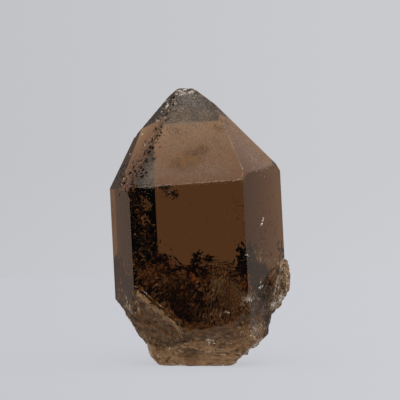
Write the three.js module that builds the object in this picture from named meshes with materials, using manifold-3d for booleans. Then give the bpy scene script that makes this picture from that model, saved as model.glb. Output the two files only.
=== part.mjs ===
// Smoky quartz crystal: a stout six-sided crystal with a six-sided point, broken off at its lower end.
// Millimetres, +Z up. The viewer looks along +Y with +X to the right. The broken end is cut flat at Z = 0,
// where the crystal stands, and the origin is under the middle of its box.

import * as THREE from 'three';
import { mergeVertices } from 'three/addons/utils/BufferGeometryUtils.js';
import Module from 'manifold-3d';

const wasm = await Module();
wasm.setup();

// Driving dimensions of the grown crystal
const PRISM_TURN = -6.5; // the front prism face looks this far to the viewer's left, degrees
const RHOMB_TILT = 51.79; // tilt of a point face's normal from the long axis, a constant of quartz, degrees
const LEAN = 2.9; // the long axis leans this far to the viewer's left, degrees
const SUMMIT = 55.3; // height of the blunt tip above the flat cut

// Each side of the prism: its sector, its distance from the long axis, the height on it where the face of the
// point begins, and how far that face departs from the ideal turn and tilt, degrees.
const SIDES = [
  { name: 'front', sector: 0, distance: 17.2, shoulder: 35.9, turn: -1.1, tilt: 1.3 },
  { name: 'front right', sector: 1, distance: 19.2, shoulder: 38.7, turn: -7.9, tilt: -1.1 },
  { name: 'back right', sector: 2, distance: 13.25, shoulder: 38.8, turn: -3.2, tilt: 0.5 },
  { name: 'back', sector: 3, distance: 6.0, shoulder: 45.1, turn: 0, tilt: 0 },
  { name: 'back left', sector: 4, distance: 9.1, shoulder: 45.6, turn: -4.7, tilt: -0.9 },
  { name: 'front left', sector: 5, distance: 17.4, shoulder: 35.9, turn: 3.5, tilt: 0.6 },
];

// Small faces on the corners of the point: where they look, and a point that each passes through.
const CORNER_FACES = [
  { azimuth: PRISM_TURN + 30, tilt: 60, distance: 20.5, height: 36.9 },
  { azimuth: PRISM_TURN - 30, tilt: 72, distance: 20.1, height: 33.4 },
  { azimuth: 100, tilt: 57, distance: 16.6, height: 38.5 },
];

// Driving dimensions of the broken end and of the etching
const BREAK_RELIEF = 0.45; // height of the uneven relief of a broken surface
const BREAK_GRAIN = 6; // length of that relief's waves
const RIPPLE_RELIEF = 0.14; // height of the rings of a shell-shaped break
const RIPPLE_SPACING = 3.6; // distance between those rings
const FAN_REACH = 34; // radius of the surface of one break
const FAN_RINGS = 19; // rings of facets in that surface, closer together near its middle
const FAN_SPOKES = 32; // facets in each ring
const PIT_REACH = 4.4; // how far from an edge of the point the etch pits spread
const PIT_LENGTH = 0.64; // half length of the largest etch pits
const TIP_PLACE = { x: -3.2, y: -2.6 }; // middle of the blunt tip
const TIP_HOLLOWS = 22; // hollows etched around it
const TIP_REACH = 4.2; // how far from its middle the etching of the tip spreads
const TIP_HOLLOW = 0.95; // radius of the largest hollows etched into it

const STOCK = 160; // side of the block that the faces cut, and of the blocks that cut it
const UP = new THREE.Vector3(0, 0, 1);

const radians = THREE.MathUtils.degToRad;

// Helpers

// Random numbers from 0 to 1, the same in each run.
function seededRandom(seed) {
  let state = seed;
  return () => {
    state = (state + 0x6d2b79f5) | 0;
    let mixed = Math.imul(state ^ (state >>> 15), state | 1);
    mixed ^= mixed + Math.imul(mixed ^ (mixed >>> 7), mixed | 61);
    return ((mixed ^ (mixed >>> 14)) >>> 0) / 2 ** 32;
  };
}

function toSolid(geometry) {
  const bare = geometry.clone();
  bare.deleteAttribute('normal');
  bare.deleteAttribute('uv');
  const merged = mergeVertices(bare, 1e-5);
  return new wasm.Manifold(new wasm.Mesh({
    numProp: 3,
    vertProperties: new Float32Array(merged.attributes.position.array),
    triVerts: new Uint32Array(merged.index.array),
  }));
}

function toGeometry(solid) {
  const mesh = solid.getMesh();
  const geometry = new THREE.BufferGeometry();
  geometry.setAttribute('position', new THREE.BufferAttribute(new Float32Array(mesh.vertProperties), 3));
  geometry.setIndex(new THREE.BufferAttribute(new Uint32Array(mesh.triVerts), 1));
  return geometry;
}

// Turns +Z to a direction.
function turnTo(direction) {
  return new THREE.Quaternion().setFromUnitVectors(UP, direction.clone().normalize());
}

// Tilts a vector of the crystal, whose long axis is upright, to its lean.
function lean(vector) {
  return vector.applyAxisAngle(new THREE.Vector3(0, 1, 0), -radians(LEAN));
}

// The direction at an azimuth, counted from the viewer towards the right, and a tilt from the long axis.
function heading(azimuth, tilt) {
  const level = Math.sin(radians(tilt));
  return new THREE.Vector3(
    level * Math.sin(radians(azimuth)),
    -level * Math.cos(radians(azimuth)),
    Math.cos(radians(tilt)),
  );
}

// Everything beyond the plane through a point that looks along a direction.
function beyond(plane) {
  const block = new THREE.BoxGeometry(STOCK, STOCK, STOCK);
  block.translate(0, 0, STOCK / 2);
  block.applyQuaternion(turnTo(plane.facing));
  block.translate(plane.point.x, plane.point.y, plane.point.z);
  return toSolid(block);
}

// A surface of low bumps and sharp-crested waves, as a function of two coordinates along it.
function unevenness(seed, grain) {
  const random = seededRandom(seed);
  const waves = Array.from({ length: 8 }, () => ({
    heading: random() * Math.PI * 2,
    length: grain * (0.5 + 1.4 * random()),
    phase: random() * Math.PI * 2,
  }));
  return (x, y) => waves.reduce((sum, wave) => {
    const along = x * Math.cos(wave.heading) + y * Math.sin(wave.heading);
    const swing = Math.sin((along / wave.length) * Math.PI * 2 + wave.phase);
    return sum + (1 - 2 * Math.abs(swing)) * wave.length / grain;
  }, 0) / waves.length;
}

// The grown crystal

function crystalFaces() {
  const faces = {};
  for (const side of SIDES) {
    const azimuth = PRISM_TURN + 60 * side.sector;
    const foot = heading(azimuth, 90).multiplyScalar(side.distance);
    const shoulder = foot.clone().setZ(side.shoulder);
    faces[`${side.name} prism`] = { point: lean(foot), facing: lean(heading(azimuth, 90)) };
    faces[`${side.name} point`] = {
      point: lean(shoulder),
      facing: lean(heading(azimuth + side.turn, RHOMB_TILT + side.tilt)),
    };
  }
  CORNER_FACES.forEach((face, index) => {
    faces[`corner ${index + 1}`] = {
      point: lean(heading(face.azimuth, 90).multiplyScalar(face.distance).setZ(face.height)),
      facing: lean(heading(face.azimuth, face.tilt)),
    };
  });
  return faces;
}

function grownCrystal(faces) {
  let solid = toSolid(new THREE.BoxGeometry(STOCK, STOCK, STOCK));
  for (const face of Object.values(faces)) {
    solid = solid.subtract(beyond(face));
  }
  return solid;
}

// A rounded body with an uneven skin, to add as a lump or to cut away as a hollow.
function pebble({ at, radii, facing = [0, 0, 1], spin = 0, rough = 0.08, detail = 4, seed = 1 }) {
  const ball = new THREE.IcosahedronGeometry(1, detail);
  const uneven = unevenness(seed, 1.6);
  const place = ball.attributes.position;
  for (let i = 0; i < place.count; i += 1) {
    const [x, y, z] = [place.getX(i), place.getY(i), place.getZ(i)];
    const swell = 1 + rough * uneven(x + 0.6 * z, y - 0.7 * z);
    place.setXYZ(i, x * radii[0] * swell, y * radii[1] * swell, z * radii[2] * swell);
  }
  ball.rotateZ(radians(spin));
  ball.applyQuaternion(turnTo(new THREE.Vector3(...facing)));
  ball.translate(...at);
  return toSolid(ball);
}

// The broken end

// A closed fan whose near side is a shell-shaped broken surface, to cut away all that lies beyond it.
// `curve` is its radius of curvature, above 0 where the break is hollow and below 0 where it bulges.
function brokenAway({ at, facing, curve, rough = BREAK_RELIEF, seed }) {
  const uneven = unevenness(seed, BREAK_GRAIN);
  const positions = [0, 0, uneven(0, 0) * rough];
  const indices = [];
  for (let ring = 1; ring <= FAN_RINGS; ring += 1) {
    const radius = FAN_REACH * (ring / FAN_RINGS) ** 1.15;
    const ripple = RIPPLE_RELIEF * Math.cos((radius / RIPPLE_SPACING) * Math.PI * 2);
    for (let spoke = 0; spoke < FAN_SPOKES; spoke += 1) {
      const angle = ((spoke + (ring % 2) / 2) / FAN_SPOKES) * Math.PI * 2;
      const x = radius * Math.cos(angle);
      const y = radius * Math.sin(angle);
      positions.push(x, y, (radius * radius) / (2 * curve) + rough * uneven(x, y) + ripple);
    }
  }
  const vertexOf = (ring, spoke) => 1 + (ring - 1) * FAN_SPOKES + (spoke % FAN_SPOKES);
  const far = positions.length / 3;
  positions.push(0, 0, STOCK / 2);
  for (let spoke = 0; spoke < FAN_SPOKES; spoke += 1) {
    indices.push(0, vertexOf(1, spoke + 1), vertexOf(1, spoke));
    for (let ring = 1; ring < FAN_RINGS; ring += 1) {
      const [a, b] = [vertexOf(ring, spoke), vertexOf(ring, spoke + 1)];
      const [c, d] = [vertexOf(ring + 1, spoke), vertexOf(ring + 1, spoke + 1)];
      indices.push(a, b, c, b, d, c);
    }
    indices.push(vertexOf(FAN_RINGS, spoke), vertexOf(FAN_RINGS, spoke + 1), far);
  }
  const fan = new THREE.BufferGeometry();
  fan.setAttribute('position', new THREE.BufferAttribute(new Float32Array(positions), 3));
  fan.setIndex(indices);
  fan.applyQuaternion(turnTo(new THREE.Vector3(...facing)));
  fan.translate(...at);
  return toSolid(fan);
}

const BREAKS = [
  { name: 'front left shear', at: [-8.4, -12.9, 7.0], facing: [-0.5, -0.72, -0.48], curve: 45, seed: 3 },
  { name: 'front right shear', at: [3.6, -14.5, 3.6], facing: [0.05, -0.77, -0.64], curve: -60, seed: 4,
    rough: 0.7 },
  { name: 'left flank', at: [-12.4, -6.0, 7.2], facing: [-0.83, 0.05, -0.55], curve: 80, seed: 5 },
  { name: 'back left', at: [-6.6, 0.6, 10.2], facing: [-0.42, 0.86, -0.27], curve: 40, seed: 6, rough: 0.9 },
  { name: 'back', at: [2.4, 2.6, 10.5], facing: [0.06, 0.96, -0.26], curve: 60, seed: 7, rough: 1.1 },
  { name: 'back right', at: [12.2, -2.6, 9.0], facing: [0.84, 0.46, -0.28], curve: 50, seed: 8, rough: 0.7 },
  { name: 'right flank', at: [13.1, -11.3, 15.0], facing: [0.88, -0.4, -0.26], curve: 32, seed: 9, rough: 0.25 },
  { name: 'lower right', at: [9.8, -8.0, 2.9], facing: [0.66, -0.1, -0.75], curve: 60, seed: 10 },
];

// Lumps that stand on the broken end: the sliver on its right side, the round foot at its lower left, the boss
// on its front and the heel at its lower right.
const LUMPS = [
  { name: 'sliver', at: [15.4, -4.4, 16.2], radii: [1.9, 5.0, 5.6], spin: 23.5, facing: [0.2, 0, 0.98],
    rough: 0.14, detail: 5, seed: 21 },
  { name: 'sliver root', at: [13.4, -2.2, 15.6], radii: [2.4, 5.4, 6.6], spin: 30, facing: [0.1, -0.1, 0.97],
    rough: 0.16, detail: 4, seed: 25 },
  { name: 'foot', at: [-5.5, -7.4, 4.5], radii: [5.2, 4.6, 5.2], rough: 0.1, detail: 5, seed: 22 },
  { name: 'boss', at: [1.6, -13.0, 4.8], radii: [1.1, 0.9, 1.2], rough: 0.03, detail: 2, seed: 23 },
  { name: 'heel', at: [8.6, -8.0, 4.9], radii: [3.5, 4.6, 1.9], rough: 0.1, detail: 4, seed: 24 },
];

// Hollows bitten out of the ledges and of the edges.
const HOLLOWS = [
  { name: 'heel notch', at: [9.1, -5.0, 0.3], radii: [1.9, 10.0, 1.6], detail: 3, seed: 31 },
  { name: 'edge notch', at: [16.75, -8.5, 31.9], radii: [0.7, 0.7, 0.9], detail: 1, seed: 32 },
  { name: 'left step', at: [-15.6, -12.4, 10.6], radii: [2.2, 3.4, 1.8], detail: 3, seed: 33 },
  { name: 'front step', at: [-12.6, -17.0, 11.6], radii: [2.6, 2.2, 2.4], detail: 3, seed: 34 },
  { name: 'front ledge', at: [-6.6, -18.0, 8.8], radii: [4.6, 1.5, 1.3], spin: -8, detail: 3, seed: 35 },
  { name: 'right step', at: [9.8, -20.0, 11.0], radii: [2.6, 2.2, 1.8], detail: 3, seed: 36 },
  { name: 'middle step', at: [2.0, -19.4, 4.6], radii: [5.0, 4.2, 2.4], spin: 6, detail: 3, seed: 40 },
  { name: 'low front step', at: [6.6, -14.6, 0.6], radii: [3.6, 2.4, 1.9], detail: 3, seed: 42 },
  { name: 'back step', at: [-2.5, 8.4, 18.6], radii: [6.4, 2.6, 3.4], rough: 0.45, detail: 4, seed: 37 },
  { name: 'back right step', at: [11.0, 5.8, 16.4], radii: [4.6, 2.6, 2.6], rough: 0.45, detail: 4, seed: 38 },
  { name: 'back left step', at: [-11.8, 3.8, 15.6], radii: [3.6, 2.8, 3.0], rough: 0.45, detail: 4, seed: 39 },
];

// Splinters that run along the crystal where its left side broke off.
function splinters() {
  const random = seededRandom(41);
  const count = 7;
  return Array.from({ length: count }, (_, index) => {
    const across = index / (count - 1);
    return {
      at: [-14.6 + 2.6 * across, -10.4 - 3.9 * across, 11.3 + 0.9 * random()],
      radii: [0.26 + 0.12 * random(), 0.3, 1.5 + 0.9 * random()],
      facing: [-0.3 + 0.5 * random(), -0.1, 1],
      rough: 0,
      detail: 0,
    };
  });
}

function brokenEnd(whole) {
  let solid = whole;
  for (const surface of BREAKS) {
    solid = solid.subtract(brokenAway(surface));
  }
  for (const lump of [...LUMPS, ...splinters()]) {
    solid = solid.add(pebble(lump));
  }
  for (const hollow of HOLLOWS) {
    solid = solid.subtract(pebble(hollow));
  }
  return solid.subtract(beyond({ point: new THREE.Vector3(), facing: UP.clone().negate() }));
}

// The etching of the point

// The line where two faces meet: the point on it at a height.
function edgePoint(first, second, height) {
  const [a, b] = [first.facing, second.facing];
  const system = new THREE.Matrix3().set(a.x, a.y, a.z, b.x, b.y, b.z, 0, 0, 1);
  return new THREE.Vector3(a.dot(first.point), b.dot(second.point), height).applyMatrix3(system.invert());
}

// Rows of pits, each along the edge between two faces of the point: between which heights and how many.
const PIT_ROWS = [
  { face: 'front left', partner: 'front', from: 34.2, to: 40, count: 40, reach: 1.1 * PIT_REACH, seed: 71 },
  { face: 'front left', partner: 'front', from: 40, to: 46, count: 30, reach: 0.8 * PIT_REACH, seed: 74 },
  { face: 'front left', partner: 'front', from: 46, to: 54.3, count: 30, reach: 0.5 * PIT_REACH, seed: 72 },
  { face: 'back left', partner: 'front left', from: 45, to: 54, count: 12, reach: 0.3 * PIT_REACH, seed: 73 },
];

// Sharp pits, scattered over the first of two faces, close to the edge between them, and a few on the second.
function etchPits(first, second, { from, to, count, seed, reach }) {
  const random = seededRandom(seed);
  const along = edgePoint(first, second, to).sub(edgePoint(first, second, from)).normalize();
  return Array.from({ length: count }, (_, index) => {
    const height = from + (to - from) * ((index + random()) / count);
    const spill = random() < 0.25;
    const [face, partner] = spill ? [second, first] : [first, second];
    const distance = spill ? 0.15 * reach * random() : reach * random() ** 1.3;
    const across = new THREE.Vector3().crossVectors(along, face.facing).normalize();
    const inwards = -Math.sign(across.dot(partner.facing));
    const size = PIT_LENGTH * (0.45 + 0.55 * random() ** 2);
    const pit = new THREE.OctahedronGeometry(1);
    pit.scale(0.9 * size, size, 0.8 * size);
    pit.rotateZ(0.8 * (random() - 0.5));
    pit.applyMatrix4(new THREE.Matrix4().makeBasis(across, along, face.facing));
    const place = edgePoint(first, second, height).addScaledVector(across, inwards * distance);
    pit.translate(place.x, place.y, place.z);
    return toSolid(pit);
  });
}

// The height of the point's surface at a place seen from above.
function skinHeight(faces, x, y) {
  const heights = SIDES.map((side) => {
    const { point, facing } = faces[`${side.name} point`];
    return (facing.dot(point) - facing.x * x - facing.y * y) / facing.z;
  });
  return Math.min(SUMMIT, ...heights);
}

// The small faces that blunt the tip: how far to the right of its middle each reaches the summit, and where it
// looks.
const TIP_FACES = [
  { reach: 0, facing: [0.02, 0, 1] },
  { reach: -0.6, facing: [-0.34, -0.2, 0.92] },
  { reach: 1.7, facing: [0.4, -0.1, 0.91] },
];

// Shallow hollows around the tip, which leave it knobbly.
function etchedTip(faces) {
  const random = seededRandom(51);
  const windings = 5;
  const nearest = 0.7;
  return Array.from({ length: TIP_HOLLOWS }, (_, index) => {
    const turn = (index / TIP_HOLLOWS) * Math.PI * 2 * windings + random();
    const spread = nearest + (TIP_REACH - nearest) * random();
    const x = TIP_PLACE.x + spread * Math.cos(turn);
    const y = TIP_PLACE.y + spread * Math.sin(turn);
    const size = TIP_HOLLOW * (0.45 + 0.55 * random());
    return pebble({
      at: [x, y, skinHeight(faces, x, y) + 0.4 * size],
      radii: [size * (0.8 + 0.4 * random()), size * (0.8 + 0.4 * random()), 0.8 * size],
      rough: 0.05,
      detail: 1,
      seed: 60 + index,
    });
  });
}

function etchedPoint(whole, faces) {
  const pits = PIT_ROWS.flatMap((row) => (
    etchPits(faces[`${row.face} point`], faces[`${row.partner} point`], row)
  ));
  const cuts = [...pits, ...etchedTip(faces)];
  const blunting = TIP_FACES.map(({ reach, facing }) => beyond({
    point: new THREE.Vector3(TIP_PLACE.x + reach, TIP_PLACE.y, SUMMIT),
    facing: new THREE.Vector3(...facing),
  }));
  return [...blunting, ...cuts].reduce((solid, cut) => solid.subtract(cut), whole);
}

const faces = crystalFaces();
const geometry = toGeometry(etchedPoint(brokenEnd(grownCrystal(faces)), faces));
geometry.computeBoundingBox();
const middle = geometry.boundingBox.getCenter(new THREE.Vector3());
geometry.translate(-middle.x, -middle.y, -geometry.boundingBox.min.z);

const smokyQuartz = new THREE.MeshStandardMaterial({
  name: 'smoky quartz',
  color: 0x5a3a20,
  roughness: 0.08,
  metalness: 0,
  flatShading: true,
});

const crystal = new THREE.Mesh(geometry, smokyQuartz);
crystal.name = 'crystal';

const model = new THREE.Group();
model.add(crystal);

export default model;
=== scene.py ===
"""The looks of a smoky quartz crystal: a clear brown six-sided crystal, rough where it is broken, with small
inclusions inside. Metres, +Z up. The viewer looks along +Y with +X to the right."""

import math
from typing import NamedTuple

import bmesh
import bpy
import numpy as np
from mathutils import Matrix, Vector, noise
from mathutils.bvhtree import BVHTree


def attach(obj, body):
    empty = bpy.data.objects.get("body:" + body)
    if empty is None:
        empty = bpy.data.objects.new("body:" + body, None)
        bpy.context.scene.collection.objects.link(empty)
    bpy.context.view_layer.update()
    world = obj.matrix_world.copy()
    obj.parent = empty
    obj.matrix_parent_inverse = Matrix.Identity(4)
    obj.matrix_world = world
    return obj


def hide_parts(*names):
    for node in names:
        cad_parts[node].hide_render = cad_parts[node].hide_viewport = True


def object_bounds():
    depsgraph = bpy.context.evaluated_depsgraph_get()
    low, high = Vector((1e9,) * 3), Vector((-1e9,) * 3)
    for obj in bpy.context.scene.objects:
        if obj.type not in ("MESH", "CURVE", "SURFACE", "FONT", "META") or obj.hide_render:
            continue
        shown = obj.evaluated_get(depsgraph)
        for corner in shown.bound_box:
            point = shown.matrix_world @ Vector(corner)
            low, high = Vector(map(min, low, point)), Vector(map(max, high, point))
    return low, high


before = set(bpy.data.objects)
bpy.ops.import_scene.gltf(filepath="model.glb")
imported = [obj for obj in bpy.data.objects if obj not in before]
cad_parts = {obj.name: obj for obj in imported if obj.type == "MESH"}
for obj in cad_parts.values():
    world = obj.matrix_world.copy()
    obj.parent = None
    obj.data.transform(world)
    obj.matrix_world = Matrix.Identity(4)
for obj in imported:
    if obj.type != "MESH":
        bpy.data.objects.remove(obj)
cad_low, cad_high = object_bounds()

MM = 0.001

# The view of the photograph
PICTURE_WIDTH = 400  # pixels
CAMERA_DISTANCE = 0.45
VIEW_HEIGHT = 0.0328
FIELD_WIDTH = 0.08  # what the picture's width shows at the origin
SENSOR_WIDTH = 36
NEAR_CLIP = 0.01

# Smoky quartz
QUARTZ_IOR = 1.544
ABSORPTION_DENSITY = 200
ABSORPTION_COLOUR = (0.567, 0.37, 0.14)
STAIN_COLOUR = (0.34, 0.17, 0.07)

# The broken end
FLAT_TURN = math.radians(0.3)  # neighbours that turn less than this lie in one flat face
FACE_AREA = 12 * MM * MM  # a flat patch larger than this is a grown face
ETCHED_ABOVE = 30 * MM  # small facets above this height are etched
BREAK_EDGE = 0.26 * MM  # longest edge of a broken surface's triangles
SPLIT_ROUNDS = 6
SMOOTHING_PASSES = 5
SMOOTHING = 0.6  # how far a pass moves a corner towards the mean of its neighbours
FADE_PASSES = 6
FADE = 0.65  # the same for the share of the relief, which fades out towards the ends of a break

# The relief of a broken surface, in mm, and how much more there is behind
SHELLS = 0.2
SHELLS_BEHIND = 0.6
STEPS = 0.13
STEPS_BEHIND = 0.2
GRAIN = 0.06
HIGHEST = 0.4
HIGHEST_BEHIND = 0.4
DEEPEST = -0.8
SHELLS_MEAN = 1.1  # of the noise that makes the shells
STEPS_MEAN = 1.1  # of the noise that makes the steps
STEPS_SHIFT = Vector((9, 4, 2))  # keeps the steps' noise apart from the shells'
WARP_SHIFTS = (Vector((0, 0, 0)), Vector((31, 5, 17)), Vector((7, 43, 23)))  # one for each direction

# The etched facets
FROSTED_ABOVE = 48.5 * MM  # the etching of the tip, above this height, is frosted
FROST = 2.0  # how rough the frosted tip is, as a share of the broken surfaces
PIT_ROUGH = 0.3  # how rough the etch pits are


def share_between(value, start, end):
    """How far a value is on its way from a start to an end, from 0 to 1."""
    return min(max((value - start) / (end - start), 0.0), 1.0)


# The crystal's surface


def welded(node):
    """The node's mesh as a bmesh, with its split corners joined."""
    mesh = bmesh.new()
    mesh.from_mesh(node.data)
    bmesh.ops.remove_doubles(mesh, verts=mesh.verts, dist=1e-7)
    mesh.faces.ensure_lookup_table()
    return mesh


def flat_patches(mesh):
    """Lists of connected faces that lie in one plane."""
    patches = []
    seen = set()
    for start in mesh.faces:
        if start in seen:
            continue
        patch = []
        waiting = [start]
        seen.add(start)
        while waiting:
            face = waiting.pop()
            patch.append(face)
            for edge in face.edges:
                for other in edge.link_faces:
                    if other not in seen and other.normal.angle(start.normal, math.pi) < FLAT_TURN:
                        seen.add(other)
                        waiting.append(other)
        patches.append(patch)
    return patches


GROWN, BROKEN, ETCHED = 0, 1, 2


def sort_faces(mesh, kind):
    """Marks each face as a grown or cut flat, as broken or as etched."""
    for patch in flat_patches(mesh):
        grown = sum(face.calc_area() for face in patch) > FACE_AREA
        for face in patch:
            if grown:
                face[kind] = GROWN
            elif face.calc_center_median().z > ETCHED_ABOVE:
                face[kind] = ETCHED
            else:
                face[kind] = BROKEN


def refine_broken(mesh, kind):
    """Splits the broken faces until no edge of theirs is long."""
    for _ in range(SPLIT_ROUNDS):
        long_edges = [
            edge
            for edge in mesh.edges
            if edge.calc_length() > BREAK_EDGE and any(face[kind] == BROKEN for face in edge.link_faces)
        ]
        if not long_edges:
            break
        bmesh.ops.subdivide_edges(mesh, edges=long_edges, cuts=1)
        split = [face for face in mesh.faces if len(face.verts) > 3 and face[kind] == BROKEN]
        bmesh.ops.triangulate(mesh, faces=split, quad_method="SHORT_EDGE", ngon_method="BEAUTY")
    many_sided = [face for face in mesh.faces if len(face.verts) > 3]
    bmesh.ops.triangulate(mesh, faces=many_sided, ngon_method="BEAUTY")


def break_relief(place):
    """Height of the broken surface's relief at a place, in metres: shells, steps and grain."""
    at = place / MM
    warp = Vector([noise.noise(at * 0.16 + shift) for shift in WARP_SHIFTS]) * 2.4
    shells = noise.ridged_multi_fractal((at + warp) * 0.2, 0.9, 2.1, 4, 1.0, 2.0)
    steps = noise.ridged_multi_fractal((at + warp) * 0.7 + STEPS_SHIFT, 0.8, 2.2, 3, 1.0, 2.0)
    grain = noise.fractal(at * 2.2, 0.7, 2.0, 3)
    behind = share_between(at.y, 1.0, 5.0)
    broad = (SHELLS + SHELLS_BEHIND * behind) * (shells - SHELLS_MEAN)
    narrow = (STEPS + STEPS_BEHIND * behind) * (steps - STEPS_MEAN)
    return min(max(broad + narrow + GRAIN * grain, DEEPEST), HIGHEST + HIGHEST_BEHIND * behind) * MM


def roughen_broken(mesh, kind):
    """Smooths the facets of the broken surfaces and gives them their relief, inside the model's box."""
    mesh.verts.ensure_lookup_table()
    count = len(mesh.verts)
    places = np.array([vertex.co for vertex in mesh.verts])
    free = np.array([all(face[kind] == BROKEN for face in vertex.link_faces) for vertex in mesh.verts])
    ends = np.array([(edge.verts[0].index, edge.verts[1].index) for edge in mesh.edges])
    degree = np.bincount(ends.ravel(), minlength=count)[:, None]

    def neighbour_mean(values):
        total = np.zeros_like(values)
        np.add.at(total, ends[:, 0], values[ends[:, 1]])
        np.add.at(total, ends[:, 1], values[ends[:, 0]])
        return total / degree

    for _ in range(SMOOTHING_PASSES):
        smoother = (1 - SMOOTHING) * places + SMOOTHING * neighbour_mean(places)
        places = np.where(free[:, None], smoother, places)
    depth = free.astype(float)[:, None]
    for _ in range(FADE_PASSES):
        depth = np.minimum(depth, (1 - FADE) * depth + FADE * neighbour_mean(depth))
    for vertex, place in zip(mesh.verts, places):
        vertex.co = place
    mesh.normal_update()
    for vertex, share in zip(mesh.verts, depth[:, 0]):
        if share > 0:
            vertex.co += vertex.normal * break_relief(vertex.co) * share
            vertex.co = [min(max(c, low), high) for c, low, high in zip(vertex.co, cad_low, cad_high)]


def iron_stain(place):
    """How strongly the iron stain colours a broken surface there, from 0 to 1. It is weaker in front and near
    the cut."""
    behind = share_between(place.y / MM, -1.0, 4.0)
    above_cut = share_between(place.z / MM, 2.0, 6.0)
    return (0.35 + 0.65 * behind) * (0.4 + 0.6 * above_cut)


def roughness(face, kind):
    """How rough a face of this kind is, as a share of the broken surfaces."""
    if kind == ETCHED:
        return FROST if face.calc_center_median().z > FROSTED_ABOVE else PIT_ROUGH
    return 1.0 if kind == BROKEN else 0.0


def crystal_piece():
    """The clear crystal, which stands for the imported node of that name."""
    mesh = welded(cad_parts["crystal"])
    kind = mesh.faces.layers.int.new("kind")
    sort_faces(mesh, kind)
    refine_broken(mesh, kind)
    roughen_broken(mesh, kind)
    looks = {"fracture": [], "stain": []}
    for face in mesh.faces:
        broken = face[kind] == BROKEN
        face.smooth = broken
        looks["fracture"] += [roughness(face, face[kind])] * len(face.loops)
        looks["stain"] += [iron_stain(loop.vert.co) if broken else 0.0 for loop in face.loops]
    data = bpy.data.meshes.new("smoky_quartz_crystal")
    mesh.to_mesh(data)
    mesh.free()
    for name, values in looks.items():
        data.attributes.new(name, "FLOAT", "CORNER").data.foreach_set("value", values)
    piece = bpy.data.objects.new("smoky_quartz_crystal", data)
    bpy.context.scene.collection.objects.link(piece)
    data.materials.append(quartz_material())
    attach(piece, "root")
    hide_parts("crystal")
    return piece


# Specks and veils inside the crystal, and flecks of painted light and shade

PIXEL = FIELD_WIDTH / PICTURE_WIDTH
MIDDLE = PICTURE_WIDTH / 2  # of the picture, in pixels across and down
DEEPEST_SHARE = 0.9  # of the crystal's thickness, which no fleck lies beyond
SURFACE_GAP = 1e-6  # a ray inside the crystal starts this far below its surface
FLECK_CORNERS = np.array([(1, 0, 0), (-1, 0, 0), (0, 1, 0), (0, -1, 0), (0, 0, 1), (0, 0, -1)], float)
FLECK_FACES = np.array(
    [(0, 2, 4), (2, 1, 4), (1, 3, 4), (3, 0, 4), (2, 0, 5), (1, 2, 5), (3, 1, 5), (0, 3, 5)]
)


class Sight:
    """What the viewer of the photograph sees inside the crystal, along rays that bend at its surface."""

    def __init__(self, piece):
        places = [vertex.co for vertex in piece.data.vertices]
        corners = [list(face.vertices) for face in piece.data.polygons]
        self.tree = BVHTree.FromPolygons(places, corners)
        self.eye = Vector((0, -CAMERA_DISTANCE, VIEW_HEIGHT))

    def place(self, across, down, depth):
        """The point at a depth inside the crystal that shows at a pixel of the photograph, and the normal of
        the surface in front of it. Both are None where the crystal doesn't show."""
        ray = Vector(((across - MIDDLE) * PIXEL, CAMERA_DISTANCE, (MIDDLE - down) * PIXEL)).normalized()
        hit, normal, _, _ = self.tree.ray_cast(self.eye, ray)
        if hit is None:
            return None, None
        steep = -normal.dot(ray)
        ratio = 1 / QUARTZ_IOR
        inner = ray * ratio + normal * (ratio * steep - math.sqrt(1 - ratio * ratio * (1 - steep * steep)))
        _, _, _, thickness = self.tree.ray_cast(hit + inner * SURFACE_GAP, inner)
        if thickness is None:
            return None, None
        return hit + inner * min(depth, DEEPEST_SHARE * thickness), normal


def along_line(points, share):
    """The point at a share of the way along a line of points."""
    lengths = [math.dist(a, b) for a, b in zip(points, points[1:])]
    left = share * sum(lengths)
    for (a, b), length in zip(zip(points, points[1:]), lengths):
        if left <= length or b is points[-1]:
            part = min(left / length, 1) if length else 0
            return a[0] + part * (b[0] - a[0]), a[1] + part * (b[1] - a[1])
        left -= length
    return points[0]


class Patch(NamedTuple):
    """Where flecks lie: the photograph's pixels that their line runs through, how far they scatter across
    and down from it, in pixels, and how deep they are, in mm. Then how many they are, how long in mm, how
    slim, at which angle they lie, or None for any, whether they are thin plates along the surface, and
    whether they keep together in clouds."""

    line: list
    spread: tuple
    depth: tuple
    count: int
    size: float
    slim: float = 0.6
    lie: float = None
    plate: bool = False
    cloudy: bool = False


SCATTER = 0.5  # standard deviation of the scatter, as a share of the spread
LIE_SCATTER = 9  # standard deviation of the angle, in degrees
SLANT = 0.4  # how far flecks point towards the viewer or away
CORNER_SHIFT = (0.65, 1.35)  # how far out a corner lies, as a share of the even shape
SHORTEST = 0.5  # of a patch's flecks, as a share of the longest
FLATNESS = 0.7  # thickness of a fleck that is no plate, as a share of its width
PLATE_THICKNESS = 0.08  # of a thin plate, as a share of its length
CLOUD_SPACING = Vector((1.6, 2.4, 1.1)) * MM  # the clouds' size, roughly


def fleck(patch, normal, random):
    """Corners of one fleck around its own middle, under a surface with this normal."""
    angle = random.uniform(0, 360) if patch.lie is None else random.normal(patch.lie, LIE_SCATTER)
    angle = math.radians(angle)
    long = Vector((math.cos(angle), random.uniform(-SLANT, SLANT), math.sin(angle))).normalized()
    if patch.plate:
        long = (long - normal * long.dot(normal)).normalized()
        first = normal.cross(long)
        thick = PLATE_THICKNESS
    else:
        side = long.cross((0.3, 1, 0.2)).normalized()
        roll = random.uniform(0, math.tau)
        first = side * math.cos(roll) + long.cross(side) * math.sin(roll)
        thick = patch.slim * FLATNESS
    axes = np.array((long, first, long.cross(first)))
    shift = random.uniform(*CORNER_SHIFT, (len(FLECK_CORNERS), 1))
    half = patch.size * MM * random.uniform(SHORTEST, 1) / 2
    return FLECK_CORNERS * shift * (half, half * patch.slim, half * thick) @ axes


def in_cloud(place):
    """Whether a place is in one of the clouds that some flecks keep to."""
    return noise.noise([part / spacing for part, spacing in zip(place, CLOUD_SPACING)]) > 0


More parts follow.
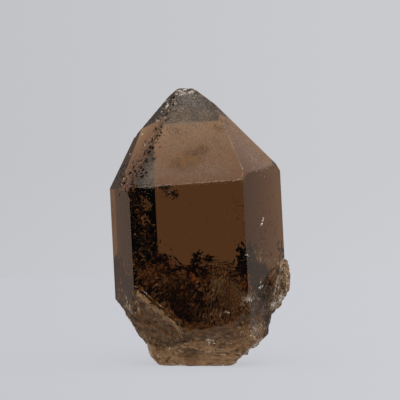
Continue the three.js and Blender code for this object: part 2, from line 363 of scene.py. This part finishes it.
def fleck_swarm(name, material, patches, sight, seed):
    """One piece of many small closed flecks, inside the model's box."""
    random = np.random.default_rng(seed)
    flecks = []
    for patch in patches:
        for _ in range(patch.count):
            across, down = along_line(patch.line, random.random())
            shift = random.normal(0, SCATTER, 2) * patch.spread
            depth = random.uniform(*patch.depth) * MM
            place, normal = sight.place(across + shift[0], down + shift[1], depth)
            if place is None or (patch.cloudy and not in_cloud(place)):
                continue
            corners = fleck(patch, normal, random) + np.array(place)
            if (corners > cad_low).all() and (corners < cad_high).all():
                flecks.append(corners)
    first_corners = len(FLECK_CORNERS) * np.arange(len(flecks))
    faces = (FLECK_FACES + first_corners[:, None, None]).reshape(-1, 3)
    data = bpy.data.meshes.new(name)
    data.from_pydata(np.concatenate(flecks).tolist(), [], faces.tolist())
    data.materials.append(material)
    piece = bpy.data.objects.new(name, data)
    bpy.context.scene.collection.objects.link(piece)
    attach(piece, "root")


# Dark specks, and dark flecks that paint the shade of the lower part
DARK = [
    # The feather under the upper edge of the front face
    Patch([(159, 188), (170, 187)], (3, 2), (0.3, 0.8), 24, 0.8, 0.4),
    Patch([(172, 191), (178, 196)], (3, 3), (0.3, 0.8), 26, 0.9, 0.4),
    Patch([(160, 187), (177, 198)], (7, 4), (0.3, 1), 30, 1.4, 0.14, 40),
    Patch([(163, 195), (170, 189)], (5, 4), (0.3, 1), 16, 1.3, 0.14, 70),
    # The lower end of the clear window
    Patch([(156, 262), (166, 257)], (5, 4), (3, 6), 44, 1.2, 0.55),
    Patch([(195, 262), (199, 252)], (4, 4), (3, 6), 44, 1.2, 0.55),
    Patch([(204, 259), (211, 258)], (3, 3), (3, 6), 34, 1.1, 0.5),
    Patch([(247, 246), (244, 272)], (4, 4), (2, 5), 90, 1.4, 0.55),
    Patch([(202, 261), (243, 270)], (8, 7), (1.5, 4), 46, 4.2, 0.045, -3),
    Patch([(172, 250), (172.5, 250)], (2, 2), (2, 3), 4, 0.5, 0.8),
    Patch([(199.5, 250), (200, 250)], (1, 1), (2, 3), 3, 0.4, 0.8),
    # The dark lower part: dark flecks that are partly inclusions and partly painted shade where the broken
    # back shows through
    Patch([(166, 290), (192, 322)], (10, 8), (5, 10), 30, 1.8, 0.4, 50),
    Patch([(190, 288), (214, 312)], (20, 16), (5, 10), 30, 1.6, 0.4),
    Patch([(252, 266), (268, 296)], (10, 14), (3, 7), 50, 1.8, 0.35, 70),
    Patch([(279, 242), (282, 263)], (3, 3), (0.5, 2), 26, 1.3, 0.4, 88),
    # Specks
    Patch([(232, 192), (246, 250)], (9, 6), (2, 9), 34, 0.4, 0.5),
    Patch([(133, 192), (152, 256)], (10, 8), (1, 6), 70, 0.6, 0.5),
    Patch([(160, 190), (235, 240)], (60, 30), (2, 14), 26, 0.3, 0.6),
    Patch([(256, 180), (274, 240)], (16, 20), (1, 8), 34, 0.35, 0.6),
]
# Brown flecks: inclusions and cracks, and painted shade in the lower part and behind the right prism face
BROWN = [
    # The dark strip at the left of the front face
    Patch([(133, 192), (152, 256)], (12, 10), (0.4, 4), 150, 1.3, 0.4),
    # Dark flecks behind the right prism face: painted shade
    Patch([(254, 244), (274, 264)], (14, 12), (0.5, 5), 40, 1.3, 0.3, 60),
    Patch([(256, 196), (272, 236)], (14, 14), (0.5, 5), 40, 0.8, 0.4),
    # The dark lower part: brown flecks that are partly inclusions and partly painted shade
    Patch([(150, 268), (240, 278)], (20, 10), (5, 10), 120, 2.2, 0.35),
    Patch([(140, 280), (160, 300)], (9, 8), (2, 7), 60, 2.2, 0.35, 50),
    Patch([(166, 288), (194, 325)], (13, 10), (2, 9), 280, 2.0, 0.4, 50),
    Patch([(190, 288), (214, 312)], (24, 20), (3, 10), 150, 2.6, 0.35),
    Patch([(200, 312), (214, 330)], (9, 9), (1, 6), 60, 2.2, 0.45),
    Patch([(225, 300), (244, 312)], (16, 14), (3, 9), 70, 2.2, 0.3),
    Patch([(252, 266), (268, 296)], (10, 14), (2, 7), 80, 2.6, 0.4, 70),
    Patch([(262, 294), (267, 322)], (7, 8), (0.3, 2.5), 70, 2.4, 0.35, 80),
    # Cracks in the base, in the shell under the ledge and in the sliver
    Patch([(148, 350), (238, 352)], (14, 16), (0.15, 0.8), 80, 1.8, 0.14),
    Patch([(144, 312), (170, 338)], (14, 14), (0.15, 0.8), 70, 1.8, 0.14, -50),
    Patch([(284, 266), (286, 284), (280, 300)], (5, 6), (0.1, 0.5), 50, 1.2, 0.14, 78),
]
PITS = [
    # Painted shade in the etch pits: dark plates along the surface, from the left shoulder up to the tip
    Patch([(121, 190), (137, 168)], (17, 10), (-0.03, 0.03), 54, 0.95, 0.65, 60, True),
    Patch([(136, 172), (152, 146)], (11, 7), (-0.03, 0.03), 50, 0.9, 0.65, 60, True),
    Patch([(150, 150), (161, 124)], (9, 5), (-0.03, 0.03), 40, 0.86, 0.65, 62, True),
    Patch([(160, 126), (174, 94)], (7, 4), (-0.03, 0.03), 38, 0.82, 0.65, 64, True),
]
GOLD = [
    # The dark strip at the left of the front face
    Patch([(144, 201), (149, 208)], (5, 5), (1, 3), 120, 0.5, 0.6),
    Patch([(141, 217), (144, 221), (142, 225)], (1.2, 1.2), (0.8, 1.6), 26, 0.4, 0.6),
    Patch([(134, 234.5), (135.4, 234.5)], (1, 1), (0.5, 1), 7, 0.5, 0.8),
    Patch([(134, 226), (150, 250)], (10, 10), (0.5, 5), 60, 0.28, 0.7),
    Patch([(139, 252), (144, 257)], (0.8, 0.8), (0.5, 1), 12, 0.5, 0.5),
]
AMBER = [
    # The dark strip at the left of the front face
    Patch([(133, 192), (152, 256)], (12, 10), (0.4, 3), 120, 0.9, 0.4),
    # Plates that lie under the surface of the broken end
    Patch([(142, 304), (156, 322), (172, 338)], (18, 14), (0.8, 2.5), 380, 1.8, 0.5, -50, True),
    Patch([(188, 331), (248, 329)], (14, 6), (1, 2.5), 260, 1.8, 0.5, 5, True),
    Patch([(152, 346), (238, 350)], (20, 14), (1.2, 3), 320, 2.2, 0.5, 5, True),
    # The dark lower part
    Patch([(154, 266), (176, 286)], (13, 10), (1, 4), 200, 1.0, 0.26, 60),
    Patch([(136, 262), (150, 284)], (8, 10), (0.6, 4), 170, 0.9, 0.26, 50),
    Patch([(202, 263), (240, 269)], (10, 7), (1, 3), 26, 3.2, 0.045, -3),
    Patch([(208, 276), (244, 300)], (20, 14), (0.5, 2.5), 420, 1.2, 0.18, 78),
    Patch([(168, 284), (200, 312)], (20, 16), (1, 4), 200, 1.0, 0.2, 60),
    Patch([(208, 312), (246, 310)], (22, 14), (0.5, 2.5), 380, 1.1, 0.22, 75),
    # The broken end
    Patch([(190, 330), (248, 322)], (16, 8), (0.5, 3), 160, 1.4, 0.25),
    Patch([(144, 316), (166, 336)], (12, 12), (0.2, 2), 140, 1.3, 0.3, -50),
    Patch([(146, 314), (164, 334)], (14, 12), (0.1, 0.6), 260, 1.6, 0.5, -50, True),
]
OCHRE = [
    # Clouds in the point: the clear one in its middle, then the small ones and a faint one all over
    Patch([(177, 164), (187, 159), (198, 154)], (9, 7), (0.05, 0.3), 3600, 0.3),
    Patch([(170, 127), (179, 135)], (6, 6), (0.3, 1.6), 330, 0.24),
    Patch([(213, 125), (222, 131)], (5, 4), (0.3, 1.6), 300, 0.24),
    Patch([(224, 118), (230, 126)], (3, 5), (0.3, 1.6), 220, 0.24),
    Patch([(200, 148), (207, 149)], (5, 5), (0.05, 0.4), 500, 0.26),
    Patch([(166, 140), (226, 150)], (14, 24), (0.3, 2), 900, 0.24, cloudy=True),
    Patch([(232, 126), (262, 160)], (9, 9), (0.3, 2), 300, 0.26, cloudy=True),
]
RUST = [
    # The two bright spots of the dark lower part, and the dot in the point
    Patch([(192, 274), (195, 281)], (2.4, 2.4), (0.5, 1), 34, 0.9, 0.5),
    Patch([(246, 275), (243, 289)], (3, 3), (1, 3), 18, 1.3, 0.16, 80),
    Patch([(194.6, 168.4), (195.4, 168.4)], (0.6, 0.6), (0.3, 0.6), 4, 0.3, 0.8),
    # Scattered through the dark lower part
    Patch([(135, 264), (150, 284)], (8, 6), (1, 6), 30, 0.8, 0.3, 50),
    Patch([(205, 272), (240, 300)], (18, 12), (2, 7), 40, 1.3, 0.14, 78),
    Patch([(160, 268), (184, 296)], (14, 12), (2, 5), 50, 0.8, 0.16, 60),
]
# Tan flecks: fibres and clouds, and painted highlights and light on the broken end, the lumps and the sliver
TAN = [
    # The ledge where the front face ends, and the rough shell under it: tan flecks that paint their
    # highlights
    Patch([(137, 293), (152, 306), (167, 319), (182, 332)], (4, 2), (0.05, 0.25), 150, 1.3, 0.3, -47, True),
    Patch([(150, 310), (162, 322), (174, 336)], (8, 7), (0.3, 1.2), 60, 1.6, 0.4, -50, True),
    Patch([(144, 322), (158, 342)], (11, 8), (0.4, 1.4), 40, 1.6, 0.5, None, True),
    # The foot and the front of the base: tan flecks that paint the light from below
    Patch([(150, 348), (168, 357)], (10, 7), (0.2, 0.9), 220, 1.8, 0.6, None, True),
    Patch([(184, 346), (238, 346)], (14, 8), (0.3, 1.4), 200, 2.0, 0.5, 10, True),
    Patch([(178, 358), (232, 358)], (14, 6), (0.3, 1.2), 200, 2.2, 0.45, 4, True),
    # Painted highlights on the lumps at the lower right
    Patch([(244, 340), (262, 328)], (10, 9), (0.1, 0.6), 110, 1.3, 0.5, None, True),
    # Painted highlights on the sliver
    Patch([(283, 262), (286, 276), (284, 290)], (5, 7), (0.1, 0.8), 260, 1.4, 0.3, 80, True),
    Patch([(282, 294), (275, 305)], (4, 4), (0.1, 0.6), 120, 1.1, 0.4, None, True),
    # Fibres behind the front face
    Patch([(216, 288), (222, 283)], (7, 12), (0.4, 1.2), 130, 0.9, 0.12, 84),
    Patch([(233, 289), (236, 286)], (5, 11), (0.4, 1.2), 80, 0.9, 0.12, 80),
    Patch([(212, 280), (240, 306)], (20, 16), (0.5, 2), 260, 1.1, 0.13, 80),
    Patch([(206, 316), (240, 314)], (20, 10), (0.5, 2), 140, 1.0, 0.16, 70),
    # Clouds in the point
    Patch([(170, 117), (214, 115)], (12, 8), (0.2, 2), 700, 0.24, cloudy=True),
    Patch([(216, 142), (226, 155)], (4, 5), (0.3, 1.6), 330, 0.24),
]
# Pale flecks: streaks, fibres and scratches, and painted highlights on edges, splinters, lumps, the base and
# the sliver
PALE = [
    # Radiating streaks in the feather
    Patch([(163, 194), (174, 190)], (5, 3), (0.2, 0.6), 8, 1.2, 0.07, 50),
    # Painted highlights along the edges of the point's front face
    Patch([(223.6, 124.4), (229, 137.4), (238.9, 160.3)], (0.4, 0.4), (0.02, 0.06), 70, 0.5, 0.16, -64, True),
    Patch([(239, 161), (243.3, 171)], (0.4, 0.4), (0.02, 0.06), 26, 0.5, 0.16, -66, True),
    Patch([(243, 172), (241.6, 177.6)], (0.4, 0.4), (0.02, 0.06), 16, 0.45, 0.18, -100, True),
    Patch([(241, 178.4), (233, 181.4)], (0.4, 0.4), (0.02, 0.06), 18, 0.45, 0.18, 20, True),
    Patch([(136, 187.4), (233, 180)], (0.4, 0.3), (0.02, 0.06), 70, 0.6, 0.12, 4, True),
    # Painted highlights on the splinters and the crest of the ledge
    Patch([(135.7, 286), (145, 292), (150, 297)], (0.7, 0.7), (0, 0.1), 16, 0.6, 0.2, -42),
    Patch([(150, 297), (170, 314), (184.6, 330)], (0.6, 0.6), (0, 0.1), 34, 0.6, 0.16, -46),
    Patch([(127, 300), (131.5, 314)], (2.4, 1), (-0.02, 0.1), 16, 1.5, 0.12, -84),
    Patch([(136, 301), (139.5, 312)], (1, 1), (-0.02, 0.1), 10, 1.4, 0.12, -70),
    Patch([(122, 289), (123, 292)], (1, 1), (0, 0.2), 6, 0.5, 0.5),
    # Fibres behind the front face
    Patch([(236, 296), (250, 300)], (10, 8), (0.6, 2), 22, 1.8, 0.06, 140),
    Patch([(242, 301), (257, 295)], (5, 4), (0.2, 1), 80, 0.55, 0.4, 30),
    # Scratches in the right prism face
    Patch([(255, 247), (262, 262), (272, 266)], (9, 6), (0.2, 1.6), 40, 1.7, 0.05, -60),
    Patch([(258, 250), (274, 262)], (8, 6), (0.2, 1.6), 30, 1.3, 0.06, 35),
    Patch([(265, 287), (272, 287)], (3, 2.5), (0.1, 0.8), 20, 0.6, 0.3),
    # Painted highlights on the lumps at the lower right
    Patch([(256, 328), (264, 323)], (4, 4), (-0.05, 0.3), 36, 0.6, 0.35),
    Patch([(242, 342), (262, 330)], (9, 7), (-0.05, 0.4), 40, 0.5, 0.4),
    # Painted highlights on the foot and the base
    Patch([(150, 350), (238, 350)], (14, 18), (0, 0.2), 80, 0.6, 0.2),
    Patch([(207, 340), (213, 340)], (3, 4), (-0.05, 0.2), 40, 0.6, 0.5),
    Patch([(204, 352), (214, 350), (224, 349)], (1, 0.8), (-0.05, 0.2), 22, 0.7, 0.2, 4),
    Patch([(169.7, 346), (168.4, 352), (166.4, 357)], (0.8, 1), (-0.05, 0.2), 20, 0.6, 0.25, 75),
    Patch([(203, 365.5), (225, 365)], (2, 1), (-0.05, 0.2), 20, 0.6, 0.25, 2),
    # Painted highlights on the sliver at the lower right
    Patch(
        [(285, 257), (282, 264), (278, 276), (274, 293), (270, 306)], (1, 1), (-0.05, 0.2), 90, 0.6, 0.35, 72
    ),
    Patch([(284, 266), (288, 284), (283, 298)], (2, 4), (-0.02, 0.4), 90, 0.7, 0.2, 82),
    Patch([(280, 298), (272, 307)], (3, 3), (-0.02, 0.3), 200, 0.8, 0.4, None, True),
    Patch([(282, 268), (279, 284), (275, 298)], (2, 3), (-0.02, 0.3), 90, 0.9, 0.3, 74, True),
    Patch([(285, 268), (287, 282), (281, 297)], (4, 5), (0.05, 0.5), 150, 0.9, 0.3, 78, True),
]
# Near-white flecks that paint glints
BRIGHT = [
    # Glints in the pits
    Patch([(167, 104), (167, 108)], (1.2, 1.6), (-0.05, 0.05), 8, 0.6, 0.6),
    Patch([(161.7, 111.4), (162.3, 111.4)], (0.8, 0.8), (-0.05, 0.05), 4, 0.45, 0.7),
    Patch([(156, 120.6), (159, 120.2)], (0.8, 0.8), (-0.05, 0.05), 5, 0.4, 0.7),
    Patch([(165, 117), (165, 118)], (0.6, 0.6), (-0.05, 0.05), 3, 0.35, 0.7),
    Patch([(145, 145), (145.4, 145.4)], (0.9, 0.9), (-0.05, 0.05), 4, 0.45, 0.7),
    Patch([(142, 134), (142.4, 134)], (0.7, 0.7), (-0.05, 0.05), 3, 0.4, 0.7),
    Patch([(129.6, 155), (133, 149)], (0.5, 0.5), (-0.05, 0.05), 8, 0.6, 0.25, 60),
    Patch([(180, 91), (187, 99)], (5, 4), (-0.05, 0.05), 8, 0.3, 0.7),
    Patch([(122, 190), (165, 108)], (7, 5), (-0.05, 0.05), 50, 0.3, 0.6),
    # Painted glints on chips lower down
    Patch([(263, 218), (261, 225)], (1, 1), (-0.05, 0.2), 8, 0.7, 0.5, 70),
    Patch([(258, 288), (264, 285)], (1, 1), (-0.05, 0.2), 9, 0.55, 0.6),
    Patch([(260, 283), (261, 282.6)], (0.6, 0.6), (-0.05, 0.2), 3, 0.4, 0.7),
    Patch([(226, 312), (229, 312.6)], (0.8, 0.8), (0.02, 0.15), 12, 0.55, 0.6),
    Patch([(246, 299), (252, 301)], (2, 2), (0.02, 0.2), 16, 0.6, 0.6),
    Patch([(241, 302), (258, 295)], (4, 3), (0.05, 0.5), 16, 0.35, 0.6),
    Patch([(245, 255), (249, 256)], (0.6, 0.6), (0, 0.2), 6, 0.5, 0.4, 0),
    Patch([(144, 292), (147, 295)], (1, 1), (-0.05, 0.1), 4, 0.4, 0.5, -42),
    Patch([(158, 312), (178, 332)], (8, 6), (-0.05, 0.1), 6, 0.3, 0.6),
    Patch([(280, 295), (282, 297)], (1, 1), (-0.1, 0.1), 8, 0.5, 0.6),
    Patch([(272, 306), (275, 300)], (1.4, 1.4), (-0.1, 0.1), 16, 0.5, 0.6),
    Patch([(253, 328), (256, 329)], (1, 1), (-0.1, 0.1), 6, 0.5, 0.6),
    Patch([(199, 150), (200.6, 153), (199, 156)], (0.4, 0.4), (0.1, 0.3), 9, 0.4, 0.3, 80),
]
# Pale flecks in the point: partly its real cloudiness, partly painted reflection that lightens its faces
HAZE = [
    # Behind the point's front face
    Patch([(166, 118), (216, 114)], (14, 9), (0.2, 2), 2200, 0.24),
    Patch([(168, 124), (206, 122)], (10, 3), (0.2, 2), 500, 0.22),
    Patch([(166, 142), (224, 142)], (16, 30), (0.5, 3), 2600, 0.26),
    Patch([(166, 140), (224, 140)], (14, 26), (0.4, 3), 3400, 0.26, cloudy=True),
    Patch([(160, 172), (230, 170)], (14, 10), (0.5, 3), 2200, 0.24),
    # Behind the point's right face
    Patch([(230, 124), (244, 146), (266, 168)], (9, 9), (0.3, 2.5), 2300, 0.26),
    # Behind its pitted left side
    Patch([(124, 186), (140, 158), (164, 112)], (12, 14), (0.2, 3), 1000, 0.22),
    Patch([(148, 182), (156, 166)], (9, 10), (0.2, 2), 1100, 0.22),
]
# Bluish-grey flecks under the tip: partly its real frosting, partly painted reflection
FROSTED = [
    Patch([(178, 99), (202, 104)], (16, 11), (0.1, 1.5), 2200, 0.22),
]


def inclusions(crystal):
    """The pieces that lie inside the crystal: specks and veils, and flecks that paint shade, highlights,
    glints and reflection.
    """
    sight = Sight(crystal)
    # Near-black flecks: real specks, and painted shade in the lower part and in the etch pits
    dark = speck_material("dark_mineral_and_painted_shade", (0.004, 0.002, 0.001), (0.02, 0.009, 0.004))
    # Dark brown flecks: inclusions, and painted shade in the lower part and behind the right prism face
    brown = speck_material("brown_mineral_and_painted_shade", (0.03, 0.011, 0.004), (0.11, 0.045, 0.016))
    amber = speck_material("amber_mineral", (0.16, 0.07, 0.02), (0.48, 0.24, 0.08))
    gold = speck_material("gold_mineral", (0.36, 0.2, 0.06), (0.75, 0.48, 0.2))
    ochre = speck_material("ochre", (0.32, 0.13, 0.012), (0.56, 0.28, 0.045))
    rust = speck_material("rust", (0.5, 0.15, 0.03), (0.95, 0.38, 0.08))
    # Tan flecks, partly the crystal's fibres and clouds, partly painted highlights on the broken end
    tan = speck_material("tan_quartz_and_painted_highlights", (0.5, 0.3, 0.15), (0.92, 0.7, 0.46), scale=300.0)
    # Cream flecks, partly real streaks and fibres, partly painted highlights
    pale = speck_material("pale_crumbs_and_painted_highlights", (0.75, 0.62, 0.48), (0.98, 0.9, 0.76))
    # Painted glints: near-white flecks where the pits and chips catch light
    bright = speck_material("painted_glints", (0.95, 0.92, 0.85), (1.0, 0.99, 0.95), rough=0.3, shine=0.5)
    # Pale flecks, partly cloudiness and partly painted reflection on the point's faces
    haze_and_painted_reflection = speck_material("haze_and_painted_reflection", (0.6, 0.54, 0.5), (0.95, 0.9, 0.87), scale=200.0)
    # Bluish-grey flecks, partly frosting and partly painted reflection on the tip
    frost_and_painted_reflection = speck_material("frost_and_painted_reflection", (0.4, 0.42, 0.46), (0.75, 0.78, 0.84))
    swarms = (
        ("dark_inclusions_and_painted_shade", dark, "inclusions", DARK),
        ("brown_inclusions_and_painted_shade", brown, "inclusions", BROWN),
        ("painted_pit_shade", dark, "inclusions", PITS),
        ("golden_inclusions", gold, "inclusions", GOLD),
        ("amber_inclusions", amber, "inclusions", AMBER),
        ("rust_inclusions", rust, "inclusions", RUST),
        ("ochre_veils", ochre, "healed_fractures", OCHRE),
        ("tan_crumbs_and_painted_highlights", tan, "healed_fractures", TAN),
        ("pale_veils_and_painted_highlights", pale, "healed_fractures", PALE),
        ("painted_glints", bright, "healed_fractures", BRIGHT),
        ("haze_and_painted_reflection", haze_and_painted_reflection, "healed_fractures", HAZE),
        ("frosted_tip_veils_and_painted_reflection", frost_and_painted_reflection, "healed_fractures", FROSTED),
    )
    for seed, (name, material, slot, patches) in enumerate(swarms):
        fleck_swarm(name, material, patches, sight, seed)


# Materials

GROWN_ROUGHNESS = 0.015
BREAK_ROUGHNESS = 0.16  # at the roughest, more than on the grown faces
RIPPLES = 0.06  # height of the faint waves on all faces, as a share of the bump's height
HACKLE = 3.0  # height of the fine relief on the broken faces, as a share of the bump's height
BUMP_HEIGHT = 0.12 * MM
BUMP_STRENGTH = 0.5
VEIN_CONTRAST = 3.6
VEIN_SHIFT = -1.0  # keeps the stain out where the blotches are weakest


class Nodes:
    """A material's or a world's nodes, made and linked by short calls. A socket is named by its label, or by
    the letter i and its number."""

    def __init__(self, tree):
        self.tree = tree
        tree.nodes.clear()

    def add(self, kind, settings=None, **inputs):
        node = self.tree.nodes.new("ShaderNode" + kind)
        for name, value in (settings or {}).items():
            setattr(node, name, value)
        for name, value in inputs.items():
            self.put(node, name.replace("_", " "), value)
        return node

    def put(self, node, socket, value):
        numbered = socket[0] == "i" and socket[1:].isdigit()
        target = node.inputs[int(socket[1:]) if numbered else socket]
        if isinstance(value, bpy.types.NodeSocket):
            self.tree.links.new(value, target)
        else:
            target.default_value = value

    def math(self, operation, *values, use_clamp=False):
        node = self.add("Math", {"operation": operation, "use_clamp": use_clamp})
        for index, value in enumerate(values):
            self.put(node, f"i{index}", value)
        return node.outputs[0]


def new_material(name):
    """A material, and its nodes to fill."""
    material = bpy.data.materials.new(name)
    material.use_nodes = True
    return material, Nodes(material.node_tree)


def mapped(nodes, value, start, end):
    """A value mapped from one range to another."""
    node = nodes.add("MapRange", Value=value)
    for socket, limit in zip(("From Min", "From Max", "To Min", "To Max"), (*start, *end)):
        nodes.put(node, socket, limit)
    return node.outputs["Result"]


def mixed(nodes, share, first, second):
    """A colour between two, at a share of the way."""
    node = nodes.add("Mix", {"data_type": "RGBA"})
    nodes.put(node, "i0", share)
    nodes.put(node, "i6", (*first, 1))
    nodes.put(node, "i7", (*second, 1))
    return node.outputs[2]


def quartz_material():
    """Clear brown quartz. Broken faces are rougher, with iron stain in their cracks."""
    material, nodes = new_material("smoky_quartz")
    fracture = nodes.add("Attribute", {"attribute_name": "fracture"}).outputs["Fac"]
    stain = nodes.add("Attribute", {"attribute_name": "stain"}).outputs["Fac"]
    place = nodes.add("TexCoord").outputs["Object"]
    ripple = nodes.add("TexNoise", Vector=place, Scale=160.0, Detail=2.0)
    hackle = nodes.add("TexNoise", Vector=place, Scale=900.0, Detail=4.0, Roughness=0.6)
    blotch = nodes.add("TexNoise", Vector=place, Scale=420.0, Detail=5.0, Roughness=0.65, Distortion=0.6)
    broken_rough = nodes.math("MULTIPLY", blotch.outputs["Fac"], BREAK_ROUGHNESS)
    rough = nodes.math("MULTIPLY_ADD", fracture, broken_rough, GROWN_ROUGHNESS)
    fine = nodes.math("MULTIPLY", nodes.math("MULTIPLY", hackle.outputs["Fac"], fracture), HACKLE)
    height = nodes.math("ADD", nodes.math("MULTIPLY", ripple.outputs["Fac"], RIPPLES), fine)
    bump = nodes.add("Bump", Strength=BUMP_STRENGTH, Distance=BUMP_HEIGHT, Height=height)
    veins = nodes.math("MULTIPLY_ADD", blotch.outputs["Fac"], VEIN_CONTRAST, VEIN_SHIFT)
    share = nodes.math("MULTIPLY", stain, veins, use_clamp=True)
    surface = nodes.add(
        "BsdfPrincipled",
        Base_Color=mixed(nodes, share, (1, 1, 1), STAIN_COLOUR),
        IOR=QUARTZ_IOR,
        Transmission_Weight=1.0,
        Roughness=rough,
        Normal=bump.outputs["Normal"],
    )
    body = nodes.add("VolumeAbsorption", Color=(*ABSORPTION_COLOUR, 1), Density=float(ABSORPTION_DENSITY))
    nodes.add("OutputMaterial", Surface=surface.outputs[0], Volume=body.outputs[0])
    return material


def speck_material(name, dark, light, rough=0.6, shine=0.05, scale=700.0):
    """Specks between two colours, which hardly shine because quartz lies on them."""
    material, nodes = new_material(name)
    place = nodes.add("TexCoord").outputs["Object"]
    patches = nodes.add("TexNoise", Vector=place, Scale=scale, Detail=2.0)
    share = mapped(nodes, patches.outputs["Fac"], (0.35, 0.65), (0, 1))
    colour = mixed(nodes, share, dark, light)
    surface = nodes.add("BsdfPrincipled", Base_Color=colour, Roughness=rough, Specular_IOR_Level=shine)
    nodes.add("OutputMaterial", Surface=surface.outputs[0])
    return material


# The studio


class Light(NamedTuple):
    """A soft patch of the light around the crystal: where it comes from, and the angles from its middle at
    which it is full and at which it ends, in degrees."""

    axis: tuple
    full: float
    end: float
    strength: float
    colour: tuple = (1, 1, 1)


LIGHTS = {
    "overhead": Light((0, -0.1, 1), 24, 52, 1.3, (1, 0.8, 0.64)),
    "upper front": Light((0, -0.75, 0.66), 12, 36, 1.9, (1, 0.95, 0.86)),
    "upper right": Light((0.56, 0.41, 0.72), 6, 20, 0.9, (1, 0.88, 0.78)),
    "behind": Light((0, 1, -0.05), 18, 42, 0.56),
    "behind left": Light((-0.7, 0.7, 0), 18, 42, 0.33, (1, 0.76, 0.62)),
    "behind right": Light((0.7, 0.7, 0), 18, 42, 0.16, (1, 0.8, 0.66)),
    "right": Light((1, -0.1, 0), 18, 42, 0.5, (1, 0.84, 0.7)),
    "below": Light((0, 0, -1), 40, 84, 0.74, (1, 0.74, 0.5)),
}
DIM = 0.04  # the light from everywhere else


def studio_world():
    """The light around the crystal. The crystal mirrors it, and it shines through."""
    world = bpy.data.worlds.new("studio")
    world.use_nodes = True
    bpy.context.scene.world = world
    nodes = Nodes(world.node_tree)
    direction = nodes.add("TexCoord").outputs["Generated"]
    total = nodes.add("Background", Color=(1, 1, 1, 1), Strength=DIM)
    for light in LIGHTS.values():
        near = nodes.add("VectorMath", {"operation": "DOT_PRODUCT"})
        nodes.put(near, "i0", direction)
        nodes.put(near, "i1", Vector(light.axis).normalized())
        fade = nodes.add("MapRange", {"interpolation_type": "SMOOTHSTEP"}, Value=near.outputs["Value"])
        nodes.put(fade, "From Min", math.cos(math.radians(light.end)))
        nodes.put(fade, "From Max", math.cos(math.radians(light.full)))
        nodes.put(fade, "To Max", light.strength)
        patch = nodes.add("Background", Color=(*light.colour, 1), Strength=fade.outputs["Result"])
        both = nodes.add("AddShader")
        nodes.put(both, "i0", total.outputs[0])
        nodes.put(both, "i1", patch.outputs[0])
        total = both
    nodes.add("OutputWorld", Surface=total.outputs[0])


def turned_surface(name, profile, around=96):
    """A surface of revolution about Z, for the studio, from points (radius, height)."""
    mesh = bmesh.new()
    rings = []
    for radius, height in profile:
        if radius == 0:
            rings.append([mesh.verts.new((0, 0, height))] * around)
            continue
        turn = [2 * math.pi * step / around for step in range(around)]
        rings.append([mesh.verts.new((radius * math.cos(a), radius * math.sin(a), height)) for a in turn])
    for inner, outer in zip(rings, rings[1:]):
        for step in range(around):
            nxt = (step + 1) % around
            corners = [inner[step], outer[step], outer[nxt], inner[nxt]]
            mesh.faces.new(list(dict.fromkeys(corners))).smooth = True
    data = bpy.data.meshes.new(name)
    mesh.to_mesh(data)
    mesh.free()
    surface = bpy.data.objects.new(name, data)
    bpy.context.scene.collection.objects.link(surface)
    return surface


FLOOR_MIDDLE = 0.1
FLOOR_RADIUS = 0.5
BEND_RADIUS = 0.5  # between the floor and the wall
BEND_STEPS = 24
WALL_HEIGHT = 2.0
PAPER_COLOUR = (0.95, 0.957, 1)
SIDEWAYS = 0.089  # slope of the view's left and right limits
WALL_GLOW = (0.572, 0.62)  # at the viewer's left and right
WALL_FOOT_GLOW = 0.018  # more at the foot of the wall
WALL_FOOT_HEIGHT = 0.05
FLOOR_GLOW = (0.506, 0.545)
FLOOR_TONE = (0.09, 0.113, 0.155)


def paper_glow(nodes, limits):
    """How strongly the paper glows, from the viewer's left to the right, and the paper's height."""
    place = nodes.add("SeparateXYZ", Vector=nodes.add("NewGeometry").outputs["Position"])
    ahead = nodes.math("ADD", place.outputs["Y"], CAMERA_DISTANCE)
    sideways = nodes.math("DIVIDE", place.outputs["X"], ahead)
    return mapped(nodes, sideways, (-SIDEWAYS, SIDEWAYS), limits), place.outputs["Z"]


def studio():
    """A pale floor with a soft shadow, and a backdrop that is lighter to the right."""
    wall_paper, nodes = new_material("backdrop_paper")
    glow, height = paper_glow(nodes, WALL_GLOW)
    foot = mapped(nodes, height, (0, WALL_FOOT_HEIGHT), (WALL_FOOT_GLOW, 0))
    surface = nodes.add("Emission", Color=(*PAPER_COLOUR, 1), Strength=nodes.math("ADD", glow, foot))
    nodes.add("OutputMaterial", Surface=surface.outputs[0])

    floor_paper, nodes = new_material("floor_paper")
    surface = nodes.add("BsdfPrincipled", Base_Color=(*FLOOR_TONE, 1), Roughness=1.0, Specular_IOR_Level=0.0)
    nodes.put(surface, "Emission Color", (*PAPER_COLOUR, 1))
    nodes.put(surface, "Emission Strength", paper_glow(nodes, FLOOR_GLOW)[0])
    nodes.add("OutputMaterial", Surface=surface.outputs[0])

    floor = turned_surface("floor", [(0, 0), (FLOOR_MIDDLE, 0), (FLOOR_RADIUS, 0)])
    bend = [
        (FLOOR_RADIUS + BEND_RADIUS * math.sin(a), BEND_RADIUS * (1 - math.cos(a)))
        for a in (math.radians(90) * step / BEND_STEPS for step in range(BEND_STEPS + 1))
    ]
    wall = turned_surface("backdrop", bend + [(FLOOR_RADIUS + BEND_RADIUS, WALL_HEIGHT)])
    floor.data.materials.append(floor_paper)
    wall.data.materials.append(wall_paper)
    floor.visible_glossy = False
    floor.visible_transmission = False
    wall.visible_diffuse = False
    wall.visible_glossy = False
    wall.visible_transmission = False
    wall.visible_shadow = False


def camera():
    """The view of the photograph, level and from the front."""
    lens = bpy.data.cameras.new("camera")
    lens.sensor_width = SENSOR_WIDTH
    lens.lens = SENSOR_WIDTH * CAMERA_DISTANCE / FIELD_WIDTH
    lens.clip_start = NEAR_CLIP
    viewer = bpy.data.objects.new("camera", lens)
    viewer.location = (0, -CAMERA_DISTANCE, VIEW_HEIGHT)
    viewer.rotation_euler = (math.radians(90), 0, 0)
    bpy.context.scene.collection.objects.link(viewer)
    bpy.context.scene.camera = viewer


camera()
studio_world()
studio()
inclusions(crystal_piece())
bpy.context.scene.view_settings.view_transform = "Standard"
